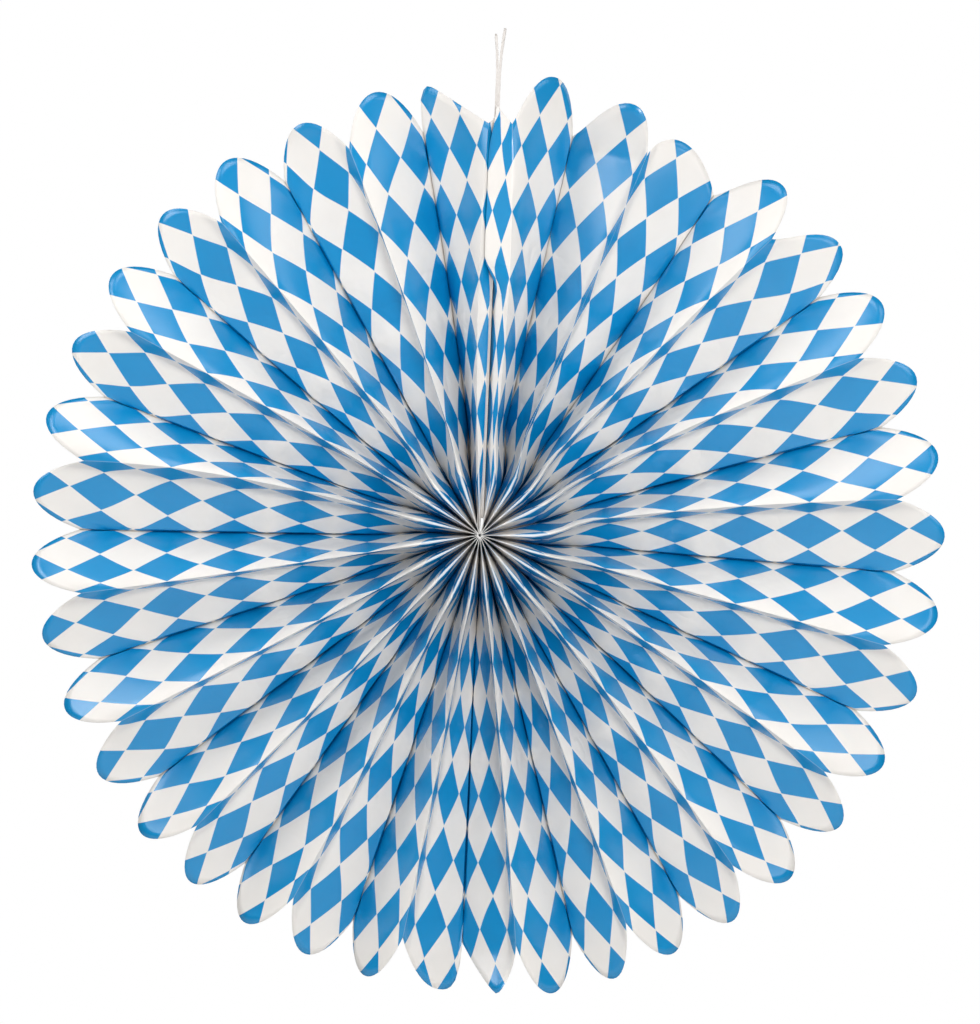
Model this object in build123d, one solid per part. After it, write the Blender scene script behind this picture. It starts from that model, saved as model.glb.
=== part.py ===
from build123d import *
import math
import os

# A pleated paper fan rosette: one strip folded into forty panels and closed into a ring.
# It hangs by a punched hole in two card strips, which stiffen the ring's seam.
# Millimetres and degrees. +Z is up, the printed front faces -Y, and the origin is the middle
# of the hanging hole. Angles run clockwise from the seam, as the front is seen.

# The pleated sheet
tip_span = 450.0          # across the rounded petal tips
petal_bulge = 23.5        # how far a tip stands past the cusps on its two sides
rim_depth = 30.0          # front to back of the pleats at the rim
curve_slack = 1.06        # arc length of a curved panel at the rim over its straight chord
paper_thickness = 0.2
waist_radius = 8.0        # the folds are pressed tight together inside this radius
neck_radius = 20.0        # between the pressed waist and the end of the upright zone
upright_radius = 55.0     # out to here the panels are flat and nearly upright
rim_shift = 3.9           # the rim's circle lies this far to the right of the waist
edge_run = 0.12           # how far across a panel its steep edge reaches, as a share
edge_rise = 0.45          # how much of the panel's depth that steep edge takes, as a share
seam_lean = 2.3           # the fold angles below are read from upright, and the seam leans this much
strips_across = 8         # flat strips that follow a curved panel from fold to fold
rings_outward = 4         # rings of them from the upright zone to the rim

# The two card strips at the seam
card_thickness = 1.2
card_width = 34.0         # front to back
card_foot_gap = 0.4       # from the pressed waist up to the strips' lower ends
card_above_hole = 7.0     # from the hole's middle to the end of the left strip
right_card_extra = 3.0    # the right strip stands this much higher
card_corner = 5.0
card_bend_radius = 160.0  # above the petals each strip bends away from the seam
glue_gap = 0.1
hole_diameter = 5.0
hole_above_tips = 14.0

# Each inner fold as two angles, first at the rim and then where the upright zone ends
folds = [
    (4.5, 8.5), (13.1, 13.2), (23.75, 24.5), (34.5, 36.0), (44.6, 43.2),
    (55.0, 55.5), (65.0, 61.3), (75.0, 74.4), (85.15, 82.3), (95.1, 95.8),
    (105.25, 104.9), (115.0, 115.7), (124.5, 122.0), (133.4, 133.1), (142.6, 140.7),
    (151.1, 151.4), (159.4, 158.6), (167.0, 166.8), (175.0, 174.2), (182.5, 182.5),
    (190.85, 189.9), (198.25, 197.4), (207.2, 205.9), (215.6, 215.4), (224.25, 223.3),
    (233.1, 232.9), (242.6, 242.0), (252.0, 251.9), (261.7, 261.2), (270.8, 270.3),
    (280.6, 284.3), (290.2, 289.2), (300.2, 301.8), (310.3, 308.6), (320.4, 321.5),
    (331.1, 330.7), (341.3, 343.4), (351.95, 353.6), (361.2, 358.5),
]

# Sizes that follow from those
tip_radius = tip_span / 2
cusp_radius = tip_radius - petal_bulge
panel_count = len(folds) + 1
mean_pitch = 360 / panel_count
mean_chord = 2 * cusp_radius * math.sin(math.radians(mean_pitch / 2))
panel_width = curve_slack * math.hypot(mean_chord, rim_depth)
seam_offset = card_thickness + glue_gap
hole_height = tip_radius + hole_above_tips
waist_spread = 360 - 2 * math.degrees(math.asin(seam_offset / waist_radius))
hole_reach = card_width
end_panels = (0, panel_count - 1)
rim_angles = [0] + [at_rim - seam_lean for at_rim, inner in folds] + [360]
inner_angles = [0] + [inner - seam_lean for at_rim, inner in folds] + [360]
straight = 1 / 3          # handles at thirds give a straight line
neck_share = (neck_radius - waist_radius) / (upright_radius - waist_radius)


def between(start, end, share):
    return start + (end - start) * share


def at_angle(radius, angle):
    """The point of the disc's plane at this distance and angle from the waist."""
    turn = math.radians(angle)
    return Vector(radius * math.sin(turn), 0, radius * math.cos(turn))


def circle_reach(circle_radius, angle):
    """How far the rim's circle lies from the waist at this angle, as its centre is shifted."""
    turn = math.radians(angle)
    return rim_shift * math.sin(turn) + math.sqrt(circle_radius**2 - (rim_shift * math.cos(turn)) ** 2)


def seam_edge(radius, number):
    """A point of the sheet's free edge, which runs beside the seam and parallel to it."""
    side = 1 if number == 0 else -1
    return Vector(side * seam_offset, 0, math.sqrt(radius**2 - seam_offset**2))


def half_depth(radius):
    """Half the pleats' depth where a flat panel of the full width spans one mean pitch."""
    chord = mean_chord * radius / cusp_radius
    return math.sqrt(panel_width**2 - chord**2) / 2


def is_ridge(number):
    return number % 2 == 1


def beside_seam(number):
    return number in (0, 1, panel_count - 1, panel_count)


def eased(handle, share):
    """A curve from 0 to 1 that has its two handles at this height and at as much below 1."""
    back = 1 - share
    return 3 * back**2 * share * handle + 3 * back * share**2 * (1 - handle) + share**3


def rim_half_depth(number):
    """Narrow pleats stand deeper than wide ones."""
    around = rim_angles[number + 1] - rim_angles[number - 1]
    return rim_depth * mean_pitch / around


def fold_depth(number, outward):
    """How far a fold stands before or behind the disc's plane. The seam's folds keep all of it."""
    if beside_seam(number):
        return panel_width / 2
    flat = half_depth(between(upright_radius, cusp_radius, outward))
    return flat + outward * (rim_half_depth(number) - half_depth(cusp_radius))


def fold_place(number, outward):
    """Where a fold passes the disc's plane, from the upright zone, 0, to the rim, 1."""
    angle = between(inner_angles[number], rim_angles[number], outward)
    radius = between(upright_radius, circle_reach(cusp_radius, angle), outward)
    return seam_edge(radius, number) if number in (0, panel_count) else at_angle(radius, angle)


def petal_reach(number):
    """How far the tip of this petal stands past the middle of the chord between its cusps."""
    chord_middle = (fold_place(number, 1) + fold_place(number + 1, 1)) / 2
    tip_angle = (rim_angles[number] + rim_angles[number + 1]) / 2
    return circle_reach(tip_radius, tip_angle) - chord_middle.length


def paper_lifts(points):
    """How far the paper's rear face lies behind each of these points of its front face."""
    steps = [after - before for before, after in zip(points, points[1:])]
    slopes = [step.length / math.hypot(step.X, step.Z) for step in steps]
    pairs = zip(slopes[:1] + slopes, slopes + slopes[-1:])
    return [paper_thickness * (before + after) / 2 for before, after in pairs]


def across_panel(number, first, second, outward, strips):
    """The front from fold to fold: a steep edge, a flatter middle and a steep edge."""
    curl = 0 if number in end_panels else outward
    run = between(straight, edge_run, curl)
    rise = between(straight, edge_rise, curl)
    span = second - first
    points = []
    for strip in range(strips + 1):
        along = eased(run, strip / strips)
        down = eased(rise, strip / strips)
        flat = Vector(first.X + span.X * along, 0, first.Z + span.Z * along)
        bulge = 4 * along * (1 - along) * petal_reach(number) * outward
        flat = flat * (1 + bulge / flat.length)
        points.append(flat + Vector(0, first.Y + span.Y * down, 0))
    return points


class PaperPoint:
    """A point of the paper's front face and the one behind it on its rear face."""

    def __init__(self, front, lift):
        self.front = front
        self.back = front + Vector(0, lift, 0)


class Ring:
    """The folded sheet at about one radius, as a row of points from the seam round to the seam."""

    def __init__(self, places, depths, outward=0, strips=1):
        ridge_or_valley = [-1 if is_ridge(number) else 1 for number in range(panel_count + 1)]
        folded = [place + Vector(0, sign * depth, 0)
                  for place, sign, depth in zip(places, ridge_or_valley, depths)]
        for number, lift in enumerate(paper_lifts(folded)):
            if not is_ridge(number):
                folded[number] -= Vector(0, lift, 0)
        front = folded[:1]
        for number in range(panel_count):
            front += across_panel(number, folded[number], folded[number + 1], outward, strips)[1:]
        self.strips = strips
        self.points = [PaperPoint(point, lift) for point, lift in zip(front, paper_lifts(front))]

    def panel(self, number):
        """The points of one panel, from fold to fold."""
        return self.points[number * self.strips:(number + 1) * self.strips + 1]


def fold_ring(radius, place, depth, strips=1):
    """A ring where the panels are flat."""
    numbers = range(1, panel_count)
    places = [seam_edge(radius, 0)] + [place(number) for number in numbers]
    places.append(seam_edge(radius, panel_count))
    return Ring(places, [depth(number) for number in range(panel_count + 1)], strips=strips)


def flat_face(points):
    return Face(Wire.make_polygon(points))


def both_faces(corners):
    """One facet of the paper's front and the facet behind it."""
    front = flat_face([corner.front for corner in corners])
    return [front, flat_face([corner.back for corner in corners])]


def cut_edge(first, second):
    """The paper's thickness between two points of its edge."""
    return flat_face([first.front, second.front, second.back, first.back])


def facets(inner, outer):
    """The triangles between two rows of points, each laid over the shorter diagonal."""
    inner, outer = list(inner), list(outer)
    triangles = []
    while len(inner) > 1 or len(outer) > 1:
        along_inner = (inner[1].front - outer[0].front).length if len(inner) > 1 else math.inf
        along_outer = (inner[0].front - outer[1].front).length if len(outer) > 1 else math.inf
        if along_inner < along_outer:
            triangles.append([inner[0], inner[1], outer[0]])
            inner.pop(0)
        else:
            triangles.append([inner[0], outer[1], outer[0]])
            outer.pop(0)
    return triangles


def waist_place(number):
    """At the waist the folds share the ring evenly, whatever they do at the rim."""
    return at_angle(waist_radius, 180 + waist_spread * (number / panel_count - 0.5))


def neck_place(number):
    return between(waist_place(number), fold_place(number, 0), neck_share)


def neck_depth(number):
    return between(panel_width / 2, fold_depth(number, 0), neck_share)


def make_pleated_sheet():
    """The sheet as one closed skin: the facets of its front and back, with the cut edges."""
    rings = [
        fold_ring(waist_radius, waist_place, lambda number: panel_width / 2),
        fold_ring(neck_radius, neck_place, neck_depth),
    ]
    for step in range(rings_outward + 1):
        outward = step / rings_outward
        places = [fold_place(number, outward) for number in range(panel_count + 1)]
        depths = [fold_depth(number, outward) for number in range(panel_count + 1)]
        rings.append(Ring(places, depths, outward, strips_across))
    faces = []
    for inner, outer in zip(rings, rings[1:]):
        for number in range(panel_count):
            for corners in facets(inner.panel(number), outer.panel(number)):
                faces += both_faces(corners)
        faces.append(cut_edge(inner.points[0], outer.points[0]))
        faces.append(cut_edge(inner.points[-1], outer.points[-1]))
    rim = rings[-1].points
    faces += [cut_edge(first, second) for first, second in zip(rim, rim[1:])]
    front_peak = Vector(0, -panel_width / 2, 0)
    back_peak = Vector(0, panel_width / 2, 0)
    waist = rings[0].points
    for first, second in zip(waist, waist[1:] + waist[:1]):
        faces.append(flat_face([front_peak, first.front, second.front]))
        faces.append(flat_face([back_peak, first.back, second.back]))
    faces.append(cut_edge(waist[-1], waist[0]))
    sheet = Solid(Shell(faces))
    return sheet.moved(Location((0, 0, -hole_height)))


def make_end_card(side, above_hole):
    """A card strip on one side of the seam. Above the petals it bends away from its twin."""
    foot = (0, waist_radius + card_foot_gap - hole_height)
    bend = (0, -hole_above_tips)
    free_height = hole_above_tips + above_hole
    splay = card_bend_radius - math.sqrt(card_bend_radius**2 - free_height**2)
    inner = Line(foot, bend) + TangentArc(bend, (side * splay, above_hole), tangent=(0, 1))
    outer = inner.moved(Location((side * card_thickness, 0)))
    outline = inner + outer + Line(inner @ 0, outer @ 0) + Line(inner @ 1, outer @ 1)
    card = extrude(Plane.XZ * make_face(outline), amount=card_width / 2, both=True)
    corners = card.edges().group_by(Axis.Z)[-1].filter_by(Axis.X)
    card = fillet(corners, radius=card_corner)
    return card - Rot(Y=90) * Cylinder(radius=hole_diameter / 2, height=hole_reach)


os.makedirs("parts", exist_ok=True)
parts = {
    "pleated_sheet": make_pleated_sheet(),
    "end_card_left": make_end_card(-1, card_above_hole),
    "end_card_right": make_end_card(1, card_above_hole + right_card_extra),
}
for name, shape in parts.items():
    export_step(shape, f"parts/{name}.step")
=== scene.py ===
# %% [markdown]
# A pleated paper fan rosette, as it hangs on a wall at a party. One long strip of printed,
# coated paper is folded into forty panels and closed into a ring, and two white card strips
# stiffen the seam at the top, where it hangs by a punched hole. The solids come from CAD as a
# fixed frame. Here the sheet is made again with its curled panels, soft creases and print.

# %% Load the frame
import bpy
import math
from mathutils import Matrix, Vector, noise


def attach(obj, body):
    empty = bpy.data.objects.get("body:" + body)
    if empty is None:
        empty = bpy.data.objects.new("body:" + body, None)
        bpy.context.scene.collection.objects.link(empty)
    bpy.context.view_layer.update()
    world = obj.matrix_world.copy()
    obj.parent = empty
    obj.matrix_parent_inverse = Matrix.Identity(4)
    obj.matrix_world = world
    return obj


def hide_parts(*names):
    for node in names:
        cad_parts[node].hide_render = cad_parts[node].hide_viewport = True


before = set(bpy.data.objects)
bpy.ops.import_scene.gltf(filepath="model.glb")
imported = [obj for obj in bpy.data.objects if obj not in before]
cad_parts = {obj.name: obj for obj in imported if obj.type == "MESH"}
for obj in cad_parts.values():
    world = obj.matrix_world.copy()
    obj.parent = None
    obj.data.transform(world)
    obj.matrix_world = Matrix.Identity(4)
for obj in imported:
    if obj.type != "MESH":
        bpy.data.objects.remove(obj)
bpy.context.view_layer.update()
bpy.ops.object.select_all(action="DESELECT")

# %% [markdown]
# The photograph looks straight at the printed front through a long lens. The camera was held
# with the seam leaning a little clockwise, so the camera rolls and the rosette stays upright.

# %% Camera
WAIST = Vector((0, 0, -0.239))        # the middle of the rosette, below the hanging hole
SEAM_LEAN = 2.3                       # degrees that the seam leans clockwise in the photograph
PIXEL = 0.45 / 914                    # metres to a pixel: the petals span 0.45 m in 914 pixels
PICTURE_HEIGHT = 1024 * PIXEL
CAMERA_DISTANCE = 3.2

roll_angle = math.radians(SEAM_LEAN)
view_right = Vector((math.cos(roll_angle), 0, math.sin(roll_angle)))
view_up = Vector((-math.sin(roll_angle), 0, math.cos(roll_angle)))
aim = WAIST + view_right * (10 * PIXEL) + view_up * (23 * PIXEL)     # the picture's middle
camera = bpy.data.cameras.new("camera")
camera.sensor_fit = "VERTICAL"
camera.sensor_height = 24
camera.lens = camera.sensor_height * CAMERA_DISTANCE / PICTURE_HEIGHT
viewer = bpy.data.objects.new("camera", camera)
bpy.context.collection.objects.link(viewer)
viewer.location = aim + Vector((0, -CAMERA_DISTANCE, 0))
viewer.rotation_euler = (math.pi / 2, -roll_angle, 0)
bpy.context.scene.camera = viewer
bpy.context.scene.view_settings.view_transform = "Standard"
print("camera lens", round(camera.lens), "mm, aimed at", aim)

# %% [markdown]
# Shader maths reads best as plain arithmetic. A small class wraps an output of a node, so
# that adding, multiplying and dividing two of them adds the Math nodes. Every other node
# comes from one method, which takes the node's type, its settings and its sockets.


# %% Shader maths
class Value:
    """An output of a node, with arithmetic."""

    def __init__(self, nodes, socket):
        self.nodes = nodes
        self.socket = socket

    def maths(self, operation, *others):
        return self.nodes.add("ShaderNodeMath", {"operation": operation}, [self, *others])

    def __add__(self, other):
        return self.maths("ADD", other)

    def __sub__(self, other):
        return self.maths("SUBTRACT", other)

    def __mul__(self, other):
        return self.maths("MULTIPLY", other)

    def __truediv__(self, other):
        return self.maths("DIVIDE", other)

    def __rsub__(self, other):
        return self.nodes.add("ShaderNodeMath", {"operation": "SUBTRACT"}, [other, self])

    __radd__ = __add__
    __rmul__ = __mul__

    def limited(self):
        """Kept between 0 and 1."""
        return self.nodes.add("ShaderNodeClamp", {}, [self])


class Nodes:
    """The nodes of a material or of the world, which starts with one shader."""

    def __init__(self, owner, shader):
        self.owner = owner
        self.owner.use_nodes = True
        self.tree = self.owner.node_tree
        self.shader = self.tree.nodes[shader]

    def fill(self, socket, value):
        if isinstance(value, Value):
            self.tree.links.new(value.socket, socket)
        else:
            socket.default_value = value

    def add(self, kind, settings, sockets, output=0):
        node = self.tree.nodes.new(kind)
        for name, value in settings.items():
            setattr(node, name, value)
        pairs = sockets.items() if isinstance(sockets, dict) else enumerate(sockets)
        for key, value in pairs:
            self.fill(node.inputs[key], value)
        return Value(self, node.outputs[output])

    def blend(self, share, first, second):
        """A colour that goes from the first to the second as share goes from 0 to 1."""
        sockets = {0: share, 6: first, 7: second}       # the Mix node's sockets for colours
        return self.add("ShaderNodeMix", {"data_type": "RGBA"}, sockets, output=2)

    def map_point(self, name):
        """The two coordinates of one of the piece's own maps."""
        point = self.add("ShaderNodeUVMap", {"uv_map": name}, [])
        return [self.add("ShaderNodeSeparateXYZ", {}, [point], output) for output in (0, 1)]

    def mottle(self, scale, detail):
        """A soft unevenness from 0 to 1, fixed to the piece."""
        place = self.add("ShaderNodeTexCoord", {}, [], output="Object")
        return self.add("ShaderNodeTexNoise", {}, {"Vector": place, "Scale": scale, "Detail": detail})

    def finish(self, **sockets):
        for name, value in sockets.items():
            self.fill(self.shader.inputs[name.replace("_", " ")], value)
        return self.owner


def new_material(name):
    return Nodes(bpy.data.materials.new(name), "Principled BSDF")


def linear(red, green, blue):
    """A colour as a screen shows it, from 0 to 255, as the light values that a shader takes."""
    def channel(value):
        value /= 255
        return value / 12.92 if value <= 0.04045 else ((value + 0.055) / 1.055) ** 2.4
    return (channel(red), channel(green), channel(blue), 1)


# %% [markdown]
# The print is a plain field of blue lozenges on white, a common folk pattern. It runs along
# the strip without a break, so it lies in the strip's own map: one unit across is a lozenge's
# width, and one unit inwards from the rim is its height. The distance to the nearest
# lozenge's middle, added up over both directions, draws the whole field.

# %% The print
EDGE_SHARPNESS = 60
GAP = 0.009              # takes a thin line of white from each side of a lozenge

ink = new_material("printed_paper")
across, inwards = ink.map_point("print")
column = (across - across.maths("ROUND")).maths("ABSOLUTE")
row = (inwards - inwards.maths("ROUND")).maths("ABSOLUTE")
lozenge = ((0.5 - GAP - (column + row)) * EDGE_SHARPNESS + 0.5).limited()
uneven = ink.mottle(55, 3)
blue = ink.blend(uneven, linear(0, 135, 195), linear(0, 145, 205))
white = ink.blend(uneven, linear(233, 229, 224), linear(241, 237, 232))
printed = ink.blend(lozenge, white, blue)
print("the print takes", len(ink.tree.nodes), "nodes")

# %% [markdown]
# Satin ink on coated paper catches the light as a soft sheen, and the white between the
# lozenges shows much less of it. Each ridge gets a line lighter than the paper's own white,
# wider near the middle, where the ridges are pinched. It is partly bare paper where the ink
# breaks, and partly a painted highlight on the crest. A fine noise is the paper's tooth. A
# coarse one makes the flat crumples that hands leave, and these fade towards the rim and the middle.

# %% Worn ridges with a painted highlight, crumples and sheen
# the colour of the ridge line: partly bare paper, partly a painted highlight lighter than the paper
BARE_AND_HIGHLIT_PAPER = linear(250, 246, 240)
BARE_AND_HIGHLIGHT_WIDTH = 0.006       # of the line along a ridge, as a share of the panel
LINE_WIDENING_AT_HUB = 0.16     # how fast that line widens over the last quarter to the middle

from_ridge, from_middle = ink.map_point("panel")
bare_and_highlight_width = BARE_AND_HIGHLIGHT_WIDTH + (0.25 - from_middle).limited() * LINE_WIDENING_AT_HUB
# mask of the painted ridge highlight, which also stands for the bare paper where the ink breaks
bare_and_highlight = (1.5 - from_ridge / bare_and_highlight_width * 1.3).limited() * (1.2 - from_middle).limited()
tooth = ink.add("ShaderNodeBump", {}, {
    "Strength": 0.12, "Distance": 0.0004, "Height": ink.mottle(240, 4),
})
handled = (1 - (from_middle - 0.5).maths("ABSOLUTE") * 2.5).limited()
crumples = ink.add("ShaderNodeBump", {}, {
    "Strength": 0.6, "Distance": 0.008, "Normal": tooth,
    "Height": (ink.mottle(38, 3) - 0.5).maths("ABSOLUTE") * handled,
})
printed_paper = ink.finish(
    Base_Color=ink.blend(bare_and_highlight * 0.8, printed, BARE_AND_HIGHLIT_PAPER),
    Roughness=0.46 + uneven * 0.1,
    Normal=crumples,
    Specular_IOR_Level=0.0,
    Coat_Weight=(0.2 + lozenge * 0.8) * (1 - bare_and_highlight),
    Coat_Roughness=0.27,
    Coat_IOR=1.7,
)
print("printed paper has", len(ink.tree.nodes), "nodes")

# %% [markdown]
# The back of the strip and its cut edges are bare paper. The front's ink is only a coat on
# it, so the sheet gets a second material there: matt, nearly white, with faint fibres from a
# fine noise. A noise needs no map, so the thin cut edges take it as well as the back does.

# %% Plain paper for the back and the cut edges
plain = new_material("paper_back")
fibres = plain.mottle(400, 4)
plain_paper = plain.finish(
    Base_Color=plain.blend(fibres, linear(236, 234, 231), linear(246, 245, 243)),
    Roughness=0.6 + fibres * 0.15,
)
print("plain paper has", len(plain.tree.nodes), "nodes")

# %% [markdown]
# The folds are the sheet's skeleton. Odd ones are ridges, which come forward, and even ones
# are valleys, which lie back. Each is read as an angle at the rim and an angle where the
# pleats stand upright near the middle, as in the CAD source. At the hub only the ridges can
# be told apart, so a valley lies halfway between two. The strip's free edges meet at the seam.

# %% The folds
FOLDS = [                # degrees in the photograph, clockwise: at the rim, and further in
    (4.5, 8.5), (13.1, 13.2), (23.75, 24.5), (34.5, 36.0), (44.6, 43.2),
    (55.0, 55.5), (65.0, 61.3), (75.0, 74.4), (85.15, 82.3), (95.1, 95.8),
    (105.25, 104.9), (115.0, 115.7), (124.5, 122.0), (133.4, 133.1), (142.6, 140.7),
    (151.1, 151.4), (159.4, 158.6), (167.0, 166.8), (175.0, 174.2), (182.5, 182.5),
    (190.85, 189.9), (198.25, 197.4), (207.2, 205.9), (215.6, 215.4), (224.25, 223.3),
    (233.1, 232.9), (242.6, 242.0), (252.0, 251.9), (261.7, 261.2), (270.8, 270.3),
    (280.6, 284.3), (290.2, 289.2), (300.2, 301.8), (310.3, 308.6), (320.4, 321.5),
    (331.1, 330.7), (341.3, 343.4), (351.95, 353.6), (361.2, 358.5),
]
HUB_RIDGES = [
    13.7, 33.6, 49.4, 65.0, 91.0, 107.6, 123.0, 140.6, 160.2, 174.2,
    188.6, 204.4, 223.5, 243.6, 261.7, 284.2, 302.0, 316.0, 342.0, 359.2,
]
PANELS = len(FOLDS) + 1
RIM_ANGLES = [0] + [rim - SEAM_LEAN for rim, inner in FOLDS] + [360]
INNER_ANGLES = [0] + [inner - SEAM_LEAN for rim, inner in FOLDS] + [360]
HUB_ANGLES = [0]
for angle in HUB_RIDGES:
    HUB_ANGLES += [angle - SEAM_LEAN, angle - SEAM_LEAN]
HUB_ANGLES = HUB_ANGLES[:-1] + [360]
for valley in range(2, PANELS, 2):
    HUB_ANGLES[valley] = (HUB_ANGLES[valley - 1] + HUB_ANGLES[valley + 1]) / 2
print(PANELS, "panels between", len(RIM_ANGLES), "folds and free edges")

# %% [markdown]
# The sheet's sizes are in millimetres, as they are in the CAD source. A panel's width comes
# from the chord between two folds at the rim, the depth of the pleats there and a little more
# for the curl. Paper can't stretch, so a panel keeps that width all the way in.

# %% The sheet's sizes
TIP_RADIUS = 225.0       # from the waist to the petal tips
CUSP_RADIUS = 201.5      # to the notches between the petals
UPRIGHT_RADIUS = 55.0    # inside this the pleats stand upright
HUB_RADIUS = 24.0        # inside this the folds keep their angles at the hub
RIM_SHIFT = 3.9          # the rim is a circle with its middle this far to the right of the waist
RIM_DEPTH = 30.0         # of a pleat of middling width
SEAM_OFFSET = 1.3        # from the seam's plane to each free edge, past one card
CURL = 1.06
MEAN_CHORD = 2 * CUSP_RADIUS * math.sin(math.pi / PANELS)
PANEL_WIDTH = CURL * math.hypot(MEAN_CHORD, RIM_DEPTH)
print(PANELS, "panels, each", round(PANEL_WIDTH, 1), "mm wide")

# %% [markdown]
# A fold's angle and its depth change smoothly with the distance from the middle. Where a
# pleat is narrow at the rim it runs further back, since all panels are cut to one width.
# Small helpers that blend two numbers keep all of this readable.

# %% Where a fold runs
LATE_LEAN = {31: 1.8}    # this fold keeps its inner angle further out than the others
RIM_FLATTENING = 0.2     # the share of their depth that pleats lose on the last stretch out


def between(start, end, share):
    return start + (end - start) * share


def smooth(value, start, end):
    """From 0 at the start to 1 at the end, soft at both."""
    share = min(max((value - start) / (end - start), 0), 1)
    return share * share * (3 - 2 * share)


def circle_reach(radius, angle):
    """From the waist to a circle whose own middle lies RIM_SHIFT to the right."""
    turn = math.radians(angle)
    return RIM_SHIFT * math.sin(turn) + math.sqrt(radius**2 - (RIM_SHIFT * math.cos(turn)) ** 2)


def outward_share(radius):
    """0 where the upright zone ends, 1 at the rim."""
    return min(max((radius - UPRIGHT_RADIUS) / (CUSP_RADIUS - UPRIGHT_RADIUS), 0), 1)


def fold_angle(number, radius):
    """Each fold has an angle at the hub, one where the pleats stand upright, and one at the rim."""
    lean = outward_share(radius) ** LATE_LEAN.get(number, 1)
    outer = between(INNER_ANGLES[number], RIM_ANGLES[number], lean)
    return between(HUB_ANGLES[number], outer, smooth(radius, HUB_RADIUS, UPRIGHT_RADIUS))


def half_depth(radius):
    """Half the depth of a pleat whose panels are flat and spaced alike."""
    chord = MEAN_CHORD * radius / CUSP_RADIUS
    return math.sqrt(PANEL_WIDTH**2 - chord**2) / 2


def fold_depth(number, radius):
    """How far a fold lies from the middle plane. At the seam the folds keep their full depth."""
    if number in (0, 1, PANELS - 1, PANELS):
        return PANEL_WIDTH / 2
    around = RIM_ANGLES[number + 1] - RIM_ANGLES[number - 1]
    at_rim = RIM_DEPTH * 360 / PANELS / around
    inside = half_depth(radius) + outward_share(radius) * (at_rim - half_depth(CUSP_RADIUS))
    return inside * (1 - RIM_FLATTENING * smooth(outward_share(radius), 0.86, 1))


print("fold 9 turns from", round(fold_angle(9, 2), 1), "to", round(fold_angle(9, 200), 1), "degrees")

# %% [markdown]
# The print shows where the paper has gone. At the rim each ridge runs through the middle of
# a column of lozenges, but further in a leaning ridge lies half a lozenge away from it: the
# sheet has rolled over the fold. So each fold gets a place in space and a place in the print.

# %% The print at the folds
LOZENGES_ACROSS = 2.5    # in one panel
LOZENGE_HEIGHT = 32.9
FIRST_ROW = 9.8          # the outermost row of lozenges is centred this far inside the cusps
LOW_ROW_SHIFT = 3        # the rows lie this much further out on the lowest petals
PLAIN_RIDGES = (3,)      # ridges that haven't rolled
ROLLED_SHARE = 0.5       # half a lozenge of print moves over a rolled ridge
VALLEY_LIFT = 0.3        # the valleys stay this far short of the back


def lower_side(number):
    """1 where a ridge's steep flank is on its clockwise side, and -1 where it is on the other."""
    return 1 if number == PANELS - 1 or 5 < RIM_ANGLES[number] < 180 else -1


def roll(number, radius):
    """0 at the rim and at the hub, and 1 in between, where the sheet has rolled over a ridge."""
    inwards = min((1 - outward_share(radius)) / 0.27, 1) * smooth(radius, 20, 38)
    return 0 if number in PLAIN_RIDGES else inwards


def print_at_fold(number, radius):
    """Where a fold lies along the strip's print, in lozenges."""
    shift = -ROLLED_SHARE * roll(number, radius) * lower_side(number) if number % 2 else 0
    return LOZENGES_ACROSS * (number - 1) + shift


def print_row(panel, point):
    """Rows of lozenges run straight across a panel, square to its middle line."""
    middle = math.radians((RIM_ANGLES[panel] + RIM_ANGLES[panel + 1]) / 2)
    along_middle = point.x * math.sin(middle) + point.z * math.cos(middle)
    half = math.radians(RIM_ANGLES[panel + 1] - RIM_ANGLES[panel]) / 2
    rim = circle_reach(CUSP_RADIUS, math.degrees(middle)) * math.cos(half)
    lowest = smooth(-math.cos(middle + 0.17), 0.6, 0.85)       # 1 on the lowest petals
    return (rim - along_middle - FIRST_ROW + LOW_ROW_SHIFT * lowest) / LOZENGE_HEIGHT


def fold_point(number, radius):
    """A fold's place from the waist: to the right, back and up. Valleys tuck in at the hub."""
    angle = math.radians(fold_angle(number, radius))
    reach = radius * circle_reach(CUSP_RADIUS, math.degrees(angle)) / CUSP_RADIUS
    depth = fold_depth(number, radius)
    back = -depth if number % 2 else depth - VALLEY_LIFT
    if number % 2 == 0:
        reach -= 0.6 * reach * smooth(radius, 20, 2)
    if number in (0, PANELS):
        side = min(SEAM_OFFSET, radius / 2) * (1 if number == 0 else -1)
        return Vector((side, back, math.sqrt(max(reach**2 - side**2, 0))))
    return Vector((reach * math.sin(angle), back, reach * math.cos(angle)))


print("ridge 9 at the rim:", fold_point(9, CUSP_RADIUS), "in the print:", print_at_fold(9, CUSP_RADIUS))

# %% [markdown]
# Each panel bends between its two folds. Into each valley it goes straight back, so that a
# strip of the print is hidden there. Where a ridge leans, a steep flank on its lower side
# holds a whole lozenge. So a panel is drawn as a walk across the paper, with a slope for each
# stretch of it, and then fitted to its folds. A cloth simulation would give soft waves in new
# places, while these slopes keep the print where the real sheet shows it.

# %% Slopes across a panel
STEPS_ACROSS = 24
SHARES = [(step / STEPS_ACROSS) ** 1.25 for step in range(STEPS_ACROSS + 1)]   # finer at a ridge
RIDGE_TOP, LOWER_MIDDLE, UPPER_MIDDLE, POCKET = 20, 20, 30, 89.5               # in degrees
SOFT_FLANK, USUAL_FLANK, HUB_FLANK, HUB_POCKET = 58, 74, 79, 89.6
FLANKS = {3: 75, 11: 78, 17: 82, 19: 82, 21: 80, 23: 78, 25: 82, 27: 82, 29: 82, 31: 68, 37: 88}


def bend(lean, stretches, from_ridge):
    """The slope at a share of the paper. A stretch is where a bend starts and ends, and to what."""
    for start, end, next_lean in stretches:
        lean = between(lean, next_lean, smooth(from_ridge, start, end))
    return lean


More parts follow.
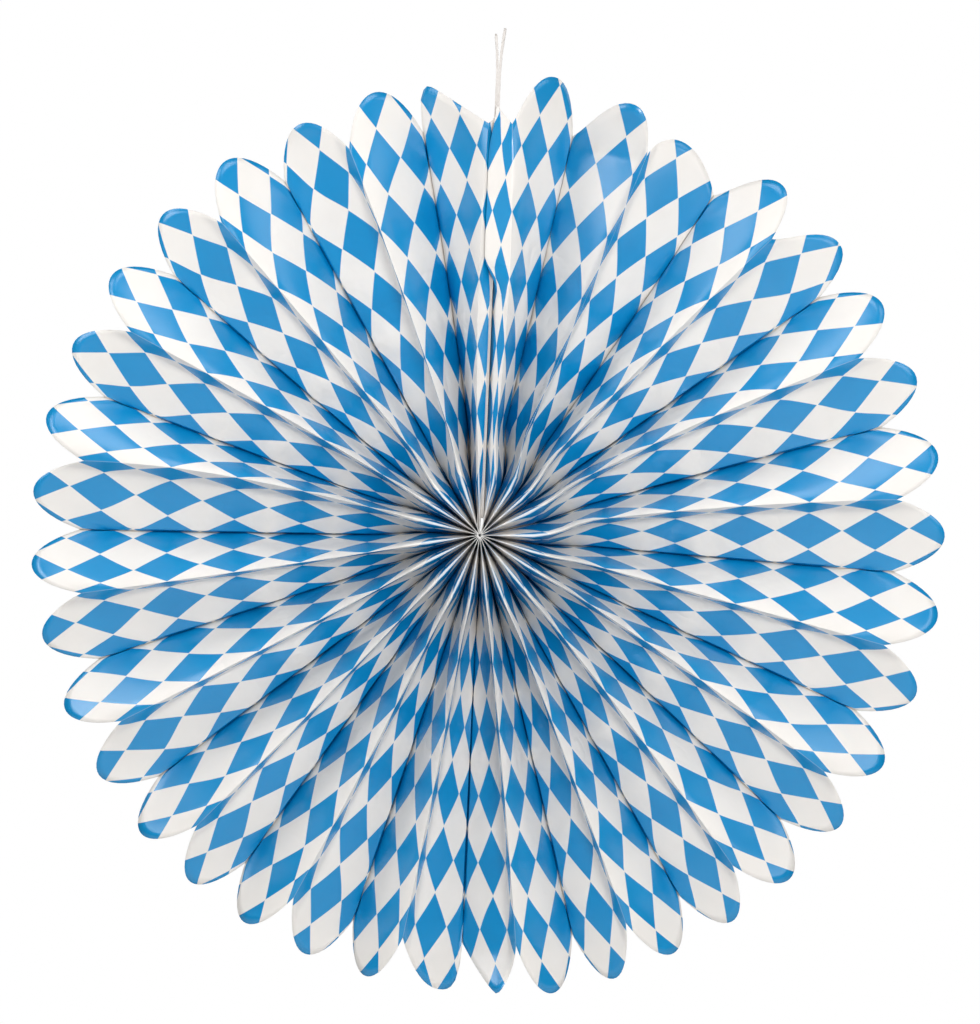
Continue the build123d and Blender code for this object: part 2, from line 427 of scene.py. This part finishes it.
def slope(panel, radius, from_ridge):
    """How steeply the paper runs back, in degrees, at a share of the panel from its ridge."""
    ridge = panel if panel % 2 else panel + 1
    falls_away = (panel == ridge) == (lower_side(ridge) == 1)
    top = FLANKS.get(ridge, USUAL_FLANK)
    near_rim = smooth(outward_share(radius), 0.75, 1)
    if ridge in PLAIN_RIDGES:
        stretches = [(0.16, 0.25, UPPER_MIDDLE), (0.85, 0.93, POCKET)]
    elif falls_away:
        rolled = roll(ridge, radius)
        top = between(SOFT_FLANK, top, rolled)
        flank_end = between(0.2, 1 / 3, rolled)
        valley = between(0.79, 0.89, near_rim)
        stretches = [(flank_end - 0.04, flank_end + 0.05, LOWER_MIDDLE), (valley, valley + 0.04, POCKET)]
    else:
        top = RIDGE_TOP
        valley = between(0.86, 0.91, near_rim)
        stretches = [(0.0, 0.2, UPPER_MIDDLE), (valley, valley + 0.03, POCKET)]
    front = bend(top, stretches, from_ridge)
    at_hub = bend(RIDGE_TOP, [(0.01, 0.03, HUB_FLANK), (0.4, 0.6, HUB_POCKET)], from_ridge)
    return between(front, at_hub, smooth(radius, UPRIGHT_RADIUS, 28))


def profile(panel, radius):
    """Shares of the way from the ridge to the valley, along and back, at each step of paper."""
    along, back, walk = 0, 0, [(0, 0)]
    for start, end in zip(SHARES, SHARES[1:]):
        for part in (0.125, 0.375, 0.625, 0.875):
            lean = math.radians(slope(panel, radius, between(start, end, part)))
            along += math.cos(lean) * (end - start)
            back += math.sin(lean) * (end - start)
        walk.append((along, back))
    return [(one / along, two / back) for one, two in walk]


print("halfway across, panel 9 is at", profile(9, 150)[STEPS_ACROSS // 2])

# %% [markdown]
# The strip's outer edge was cut in scallops, one for each panel, so the rim is a row of round
# petals. Most are alike. A few stand out further, lean to one side or are flatter, as cutting
# and opening the fan left them, so each of those has its own place in a short table.

# %% Petals
USUAL_PETAL = (0, 0.5, 2)
PETALS = {               # extra reach in mm, where the tip lies, and how flat the edge is
    1: (2.5, 0.55, 2.2), 2: (-2.2, 0.6, 2.2), 3: (-9, 0.35, 2), 4: (0, 0.6, 2.2), 5: (0, 0.6, 2.2),
    17: (2, 0.5, 2), 18: (2.5, 0.5, 2), 19: (0, 0.39, 1.3), 20: (0, 0.3, 2.4), 36: (-2.5, 0.5, 2),
    38: (-2, 0.15, 1.5),
}


def petal_reach(panel):
    """How far a petal's tip stands out past the straight line between its two folds."""
    start, end = fold_point(panel, CUSP_RADIUS), fold_point(panel + 1, CUSP_RADIUS)
    middle = (start + end) / 2
    tip_angle = (RIM_ANGLES[panel] + RIM_ANGLES[panel + 1]) / 2
    reach = circle_reach(TIP_RADIUS, tip_angle) - math.hypot(middle.x, middle.z)
    return reach + PETALS.get(panel, USUAL_PETAL)[0]


def petal_edge(panel, along):
    """How far the rounded edge stands out at a share of the panel's width: 1 is the tip."""
    tip, flatness = PETALS.get(panel, USUAL_PETAL)[1:]
    share = along ** (math.log(0.5) / math.log(tip)) if along else 0
    return 1 - abs(2 * share - 1) ** flatness


print("petal 19 stands out", round(petal_edge(19, 0.39), 2), "of its reach at its tip")

# %% [markdown]
# At the top the strip's two ends meet. Each end panel folds round the front edge of its card,
# comes back on itself and runs down the card's side. So an end panel isn't a curl like the
# others: it goes through four stations at each distance from the middle, in straight lines.

# %% The seam
SEAM_STEPS = (12, 4, 8)  # from station to station, as many in all as STEPS_ACROSS
LAP_START = (116, 132)   # outside this the strip's first end laps over the other
LAP_END = (178, CUSP_RADIUS)
CARD_FRONT = -17.5
CARD_BACK = 17.0


def seam_stations(panel, radius):
    """Points where an end panel folds, with how many lozenges of paper lie before each."""
    first, last = fold_point(1, radius), fold_point(PANELS - 1, radius)
    outer = smooth(radius, *LAP_START)
    card_side = min(1.5, radius / 2)
    if panel == 0:
        lap = between(min(3.1, 0.6 * first.x), -3.2, outer)
        lap = between(lap, -0.3, smooth(radius, *LAP_END))
        corners = [(first.x, first.y, 0), (lap, between(-18.6, -21.8, outer), 1.3)]
        corners += [(card_side, between(-14, CARD_FRONT, outer), 1.6)]
        tip_reach, ridge_z = 9, first.z
    else:
        lap = between(min(0.1, 0.05 * first.x), -1.0, outer)
        corners = [(last.x, last.y, 0), (lap, -18.0, 0.6), (-card_side, CARD_FRONT, 0.8)]
        tip_reach, ridge_z = 3, last.z
    seam = fold_point(0 if panel == 0 else PANELS, radius)
    corners += [(seam.x, CARD_BACK, LOZENGES_ACROSS)]
    stations = []
    for x, y, paper in corners:
        share = min(max((x - corners[0][0]) / (corners[1][0] - corners[0][0]), 0), 1)
        outwards = 1 + tip_reach * outward_share(radius) * share / radius
        z = between(ridge_z, seam.z, share) * outwards
        stations.append((Vector((x, y, z)), paper))
    return stations


def seam_row(panel, radius):
    """Points across an end panel, with their place in the print."""
    stations = seam_stations(panel, radius)
    direction = -1 if panel == 0 else 1
    u_ridge = print_at_fold(1 if panel == 0 else PANELS - 1, radius)
    points = []
    for (start, paper), (end, next_paper), steps in zip(stations, stations[1:], SEAM_STEPS):
        for step in range(steps):
            share = step / steps
            u = u_ridge + direction * between(paper, next_paper, share)
            points.append((start.lerp(end, share), u))
    points.append((stations[-1][0], u_ridge + direction * stations[-1][1]))
    return points[::-1] if panel == 0 else points


print("the first end panel folds at", seam_stations(0, 150)[1][0])

# %% [markdown]
# Opening the fan by hand leaves marks: soft waves in the middles, small dents in the valleys
# where the paper was pinched, and three tips that curl forward. They are pushed into the mesh,
# since a bump would not show at the rim or in the shadows.

# %% Marks of handling
WAVE_HEIGHT, WAVE_SCALE = 0.7, 0.035
DENT_RADIUS, DENT_SPREAD, DENT_HEIGHT, DENT_LENGTH = 108, 14, 2.4, 5
CURLED_TIPS = {2: (199, 0.7), 19: (206, 0.5), 36: (214, 0.5)}      # where a curl starts, how steep
NO_CURL = (300, 0)


def ripple(panel, point, from_ridge):
    """How far handling has moved the paper back, in mm. Dents and curled tips come forward."""
    reach = math.hypot(point.x, point.z)
    wave = WAVE_HEIGHT * smooth(reach, 40, 90) * noise.noise(Vector((point.x, point.z, 0)) * WAVE_SCALE)
    dent_place = DENT_RADIUS + DENT_SPREAD * noise.noise(Vector((panel * 3.7, 1.3, 0)))
    dent = DENT_HEIGHT * math.exp(-((reach - dent_place) / DENT_LENGTH) ** 2)
    curl_start, steepness = CURLED_TIPS.get(panel, NO_CURL)
    return wave - dent * smooth(from_ridge, 0.4, 0.6) - steepness * max(0, reach - curl_start)


print("panel 9 is pushed", round(ripple(9, Vector((100, 0, 20)), 0.3), 2), "mm at its middle")

# %% [markdown]
# Now all of it comes together in one row of points across a panel: the walk gives the shape,
# the petal the reach, and handling the small unevenness. Each point knows its place in the
# print, so the lozenges bend, widen and hide with the paper.


# %% A row of points
def panel_row(panel, radius):
    """Points across one panel, with their place in the print."""
    if panel in (0, PANELS - 1):
        return seam_row(panel, radius)
    start, end = fold_point(panel, radius), fold_point(panel + 1, radius)
    reach = petal_reach(panel)
    paper, shares = SHARES, profile(panel, radius)
    if panel % 2 == 0:                       # these panels start in a valley
        paper = [1 - share for share in reversed(SHARES)]
        shares = [(1 - along, 1 - down) for along, down in reversed(shares)]
    u_start, u_end = print_at_fold(panel, radius), print_at_fold(panel + 1, radius)
    points = []
    for share, (along, down) in zip(paper, shares):
        flat = Vector((between(start.x, end.x, along), 0, between(start.z, end.z, along)))
        flat *= 1 + petal_edge(panel, along) * reach * outward_share(radius) / flat.length
        depth = between(start.y, end.y, down) + ripple(panel, flat, share if panel % 2 else 1 - share)
        points.append((flat + Vector((0, depth, 0)), between(u_start, u_end, share)))
    return points


print("a row across panel 9 has", len(panel_row(9, 150)), "points")

# %% [markdown]
# The sheet is one mesh, like the one strip of paper: rows of points at many distances from
# the middle, joined by faces. Operators could fold a grid too, but each of the forty panels
# has its own angles, and here every face keeps its two maps, the print and the panel's own.

# %% The sheet's mesh
MM = 0.001
RINGS = 36
RADII = [0.8, 2, 4, 6, 8, 11, 15, 20, 26, 33, 40, 47]
RADII += [between(UPRIGHT_RADIUS, CUSP_RADIUS, ring / RINGS) for ring in range(RINGS + 1)]

vertices, print_map, panel_map = [], [], []
for radius in RADII:
    for panel in range(PANELS):
        first_step = 1 if panel else 0       # a panel shares its first fold with the one before
        for step, (point, u) in list(enumerate(panel_row(panel, radius)))[first_step:]:
            vertices.append(point * MM + WAIST)
            print_map.append((u, print_row(panel, point)))
            steps_from_ridge = step if panel % 2 else STEPS_ACROSS - step
            panel_map.append((SHARES[steps_from_ridge], radius / CUSP_RADIUS))
row_size = PANELS * STEPS_ACROSS + 1
faces = []
for ring in range(len(RADII) - 1):
    for step in range(row_size - 1):
        corner = ring * row_size + step
        faces.append((corner, corner + 1, corner + row_size + 1, corner + row_size))
print("sheet", len(vertices), "points,", len(faces), "faces")

# %% [markdown]
# The points and faces become an object, with both maps on it. A map belongs to the corners
# of faces, but here all corners at one point share its place, so each corner looks it up.

# %% The sheet as an object
mesh = bpy.data.meshes.new("folded_sheet")
mesh.from_pydata(vertices, [], faces)
for name, places in (("print", print_map), ("panel", panel_map)):
    layer = mesh.uv_layers.new(name=name)
    for loop in mesh.loops:
        layer.data[loop.index].uv = places[loop.vertex_index]
mesh.materials.append(printed_paper)
mesh.materials.append(plain_paper)
sheet = bpy.data.objects.new("folded_sheet", mesh)
bpy.context.collection.objects.link(sheet)
print("the first face on the outer ring looks towards", mesh.polygons[1 - row_size].normal)

# %% [markdown]
# Real paper of this weight is about 0.2 mm thick. Solidify gives the single layer its back
# and its cut edges, which take the plain paper. The creases stay sharp and the curls smooth
# when faces that meet at a small angle are shaded as one.

# %% Paper thickness
bpy.ops.object.select_all(action="DESELECT")
bpy.context.view_layer.objects.active = sheet
sheet.select_set(True)
bpy.ops.object.shade_smooth_by_angle(angle=math.radians(35))
thick = sheet.modifiers.new("thickness", "SOLIDIFY")
thick.thickness = 0.2 * MM
thick.offset = -1
thick.material_offset = 1
thick.material_offset_rim = 1
bpy.ops.object.modifier_apply(modifier=thick.name)
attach(sheet, "root")
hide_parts("pleated_sheet")
print("with its thickness:", len(sheet.data.polygons), "faces")

# %% [markdown]
# The two card strips keep their shape from CAD: thin flat boards with a punched hole. Only
# their finish is added, a grey-white board with faint fibres, rougher than the paper. Its grey,
# darker than the paper, is partly the board's own tone and partly painted shade for the dim
# seam where the cards show.

# %% White card strips
card = new_material("white_card")
fibre = card.mottle(500, 4)
white_card = card.finish(
    # the grey is partly the board's own tone and partly painted shade for the seam
    Base_Color=card.blend(fibre, linear(205, 198, 192), linear(232, 228, 224)),
    Roughness=0.7 + fibre * 0.1,
)
for name in ("end_card_left", "end_card_right"):
    strip = bpy.data.objects[name]
    strip.data.materials.clear()
    strip.data.materials.append(white_card)
    print(name, "is white card")

# %% [markdown]
# The photograph's background is plain white. A pale floor lies well below the rosette, so
# that views from above have a ground, and the camera sees it a little brighter than the lamps
# alone would make it.

# %% Floor
bpy.ops.mesh.primitive_plane_add(size=6, location=(0, 0, -0.8))
floor = bpy.context.object
floor.name = "floor"
floor_paint = new_material("floor")
seen = floor_paint.add("ShaderNodeLightPath", {}, [], output="Is Camera Ray")
floor.data.materials.append(floor_paint.finish(
    Base_Color=linear(235, 235, 235),
    Roughness=0.9,
    Specular_IOR_Level=0.0,
    Emission_Color=floor_paint.blend(seen, (0, 0, 0, 1), (0.62, 0.62, 0.62, 1)),
    Emission_Strength=1.0,
))
print("floor at", floor.location.z, "m")

# %% [markdown]
# The world has two strengths: white where the camera looks straight at it, which makes the
# background, and a faint grey for all else, so that the background adds hardly any light to
# the paper. The lamps do that.

# %% Backdrop and sky
WHITE = (1, 1, 1, 1)
SKY_STRENGTH, BACKDROP_STRENGTH = 0.09, 1
air = Nodes(bpy.data.worlds.new("studio"), "Background")
bpy.context.scene.world = air.finish(Color=WHITE, Strength=SKY_STRENGTH)
sky = Value(air, air.shader.outputs[0])
backdrop = air.add("ShaderNodeBackground", {}, {"Color": WHITE, "Strength": BACKDROP_STRENGTH})
seen_directly = air.add("ShaderNodeLightPath", {}, [], output="Is Camera Ray")
mix = air.add("ShaderNodeMixShader", {}, [seen_directly, sky, backdrop])
air.fill(air.tree.nodes["World Output"].inputs["Surface"], mix)
print("sky strength", SKY_STRENGTH, "and backdrop", BACKDROP_STRENGTH)

# %% [markdown]
# The panels that face up shine softly and those that face down are dull, so large lamps
# stand in an arc from the left over the top to the right. One far lamp near the camera fills
# the folds, and two behind the rosette light its back for when the view turns round.


# %% Lamps
def lamp(name, place, size, power):
    """A square lamp that looks at the waist, with its size in metres and its power in watts."""
    light = bpy.data.lights.new(name, "AREA")
    light.size = size
    light.energy = power
    source = bpy.data.objects.new(name, light)
    bpy.context.collection.objects.link(source)
    source.location = place
    source.rotation_euler = (WAIST - Vector(place)).to_track_quat("-Z", "Y").to_euler()
    print(name, place)


lamp("left", (-0.56, -0.38, 0.04), 0.32, 1.4)
lamp("upper_left", (-0.95, -0.42, 0.85), 0.55, 2.8)
lamp("top", (0.0, -0.45, 1.2), 0.8, 6.0)
lamp("upper_right", (0.95, -0.42, 0.75), 0.55, 1.9)
lamp("right", (0.54, -0.38, -0.05), 0.32, 0.8)
lamp("front", (0.45, -2.3, 0.05), 0.6, 26.5)
lamp("behind_right", (1.5, 1.8, 0.5), 1.0, 24)
lamp("behind_left", (-1.5, 1.8, 0.5), 1.0, 24)
